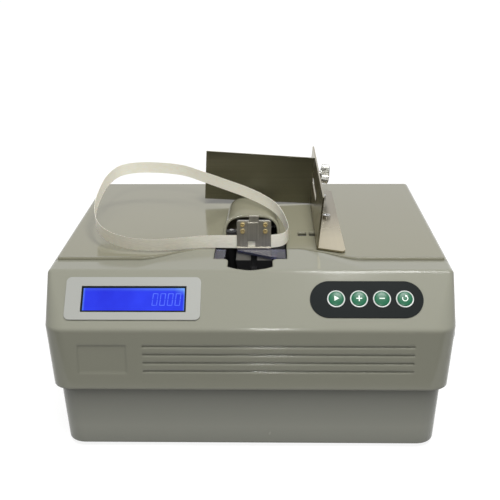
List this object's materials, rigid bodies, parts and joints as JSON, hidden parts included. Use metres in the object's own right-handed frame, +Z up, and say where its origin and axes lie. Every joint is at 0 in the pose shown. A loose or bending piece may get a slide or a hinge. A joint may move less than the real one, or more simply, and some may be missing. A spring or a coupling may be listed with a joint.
{
  "type": "banknote strapping machine",
  "caption": "Desktop machine that straps bundles of banknotes with paper tape: sloping panel with display and buttons, tape loop over the head, slotted steel fence.",
  "frame": {"origin": "on the table under the middle of the machine's bounding box", "axes": "+X to the operator's right, +Y to the back, +Z up"},
  "size_m": [0.342, 0.31, 0.2098],
  "materials": {
    "cover_plastic": "glossy moulded",
    "base_plastic": "glossy moulded",
    "zinc_sheet": "zinc plated sheet",
    "rubber": "moulded",
    "screw_steel": "turned",
    "bezel_silver": "silver, satin",
    "black_gloss": "glossy",
    "display_blue": "backlit blue",
    "board_green": "solder mask",
    "ring_white": "moulded",
    "button_green": "glossy moulded",
    "black_plastic": "moulded",
    "head_steel": "brushed",
    "brass": "turned",
    "clear_plastic": "clear acrylic",
    "tape_paper": "smooth",
    "motor_can": "zinc plated can",
    "gear_nylon": "moulded nylon",
    "fence_steel": "bright brushed",
    "thumb_chrome": "knurled and plated",
    "core_iron": "varnished laminations"
  },
  "bodies": {
    "housing": {"front_cover": "cover_plastic", "deck_cover": "cover_plastic", "base_shell": "base_plastic", "base_plate": "zinc_sheet", "rubber_feet": "rubber", "base_screws": "screw_steel", "cover_screws": "screw_steel", "display_bezel": "bezel_silver", "display_frame": "black_gloss", "display_glass": "display_blue", "display_board": "board_green", "keypad_plate": "black_gloss", "button_rings": "ring_white", "keypad_board": "board_green", "head_housing": "black_plastic", "head_plate": "head_steel", "head_screws": "brass", "plate_backing": "black_plastic", "tape_shelf": "clear_plastic", "tape_loop": "tape_paper", "chassis_plate": "zinc_sheet", "chassis_pillars": "screw_steel", "reel_spindle": "screw_steel", "feed_motor": "motor_can", "pinch_pin": "screw_steel", "press_motor": "motor_can", "fence_bracket": "fence_steel", "bracket_screws": "screw_steel", "switch_housing": "black_plastic", "mains_inlet": "black_plastic", "control_board": "board_green", "transformer": "core_iron"},
    "start_button": {"start_button": "button_green"},
    "plus_button": {"plus_button": "button_green"},
    "minus_button": {"minus_button": "button_green"},
    "reset_button": {"reset_button": "button_green"},
    "fence_plate": {"fence_plate": "fence_steel"},
    "thumb_screw": {"thumb_screw": "thumb_chrome"},
    "switch_rocker": {"switch_rocker": "black_plastic"},
    "reel": {"reel_flange": "black_plastic", "tape_roll": "tape_paper"},
    "feed_roller": {"feed_shaft": "screw_steel", "feed_gear": "gear_nylon", "feed_roller": "rubber"},
    "motor_pinion": {"motor_pinion": "brass"},
    "pinch_roller": {"pinch_roller": "screw_steel"},
    "press_pinion": {"press_pinion": "gear_nylon"},
    "press_slide": {"press_slide": "screw_steel", "heater_pad": "brass", "cutter_blade": "screw_steel"}
  },
  "joints": [
    {"name": "start_press", "type": "slide", "parent": "housing", "child": "start_button", "axis": [0, 0.7348, -0.6783], "range_m": [0, 0.0008], "stiffness_N_per_m": 300},
    {"name": "plus_press", "type": "slide", "parent": "housing", "child": "plus_button", "axis": [0, 0.7348, -0.6783], "range_m": [0, 0.0008], "stiffness_N_per_m": 300},
    {"name": "minus_press", "type": "slide", "parent": "housing", "child": "minus_button", "axis": [0, 0.7348, -0.6783], "range_m": [0, 0.0008], "stiffness_N_per_m": 300},
    {"name": "reset_press", "type": "slide", "parent": "housing", "child": "reset_button", "axis": [0, 0.7348, -0.6783], "range_m": [0, 0.0008], "stiffness_N_per_m": 300},
    {"name": "fence_slide", "type": "slide", "parent": "housing", "child": "fence_plate", "axis": [0, 1, 0], "range_m": [-0.006, 0.012]},
    {"name": "thumb_turn", "type": "hinge", "parent": "fence_plate", "child": "thumb_screw", "pos_m": [0.05946, 0.09999, 0.17948], "axis": [0.9954, 0, -0.0958], "range_deg": [0, 360]},
    {"name": "switch_rock", "type": "hinge", "parent": "housing", "child": "switch_rocker", "pos_m": [0.16534, -0.12401, 0.10219], "axis": [0, 1, 0], "range_deg": [-16, 0]},
    {"name": "reel_spin", "type": "hinge", "parent": "housing", "child": "reel", "pos_m": [-0.07599, 0.05499, 0.14], "axis": [0, 0, 1], "continuous": true},
    {"name": "feed_spin", "type": "hinge", "parent": "housing", "child": "feed_roller", "pos_m": [-0.01864, -0.05101, 0.14], "axis": [0, 0, 1], "continuous": true},
    {"name": "motor_spin", "type": "hinge", "parent": "housing", "child": "motor_pinion", "pos_m": [-0.05064, -0.05101, 0.115], "axis": [0, 0, 1], "continuous": true},
    {"name": "pinch_spin", "type": "hinge", "parent": "housing", "child": "pinch_roller", "pos_m": [-0.00894, -0.05101, 0.16], "axis": [0, 0, 1], "continuous": true},
    {"name": "press_stroke", "type": "slide", "parent": "housing", "child": "press_slide", "axis": [0, -1, 0], "range_m": [0, 0.0022]},
    {"name": "press_turn", "type": "hinge", "parent": "housing", "child": "press_pinion", "pos_m": [0.00201, -0.03501, 0.1382], "axis": [1, 0, 0], "range_deg": [0, 18.6]}
  ],
  "couplings": [
    {"joint": "feed_spin", "follows": "reel_spin", "ratio": 15},
    {"joint": "motor_spin", "follows": "reel_spin", "ratio": -45},
    {"joint": "pinch_spin", "follows": "reel_spin", "ratio": -18.75},
    {"joint": "press_turn", "follows": "press_stroke", "rad_per_m": 147.06}
  ]
}
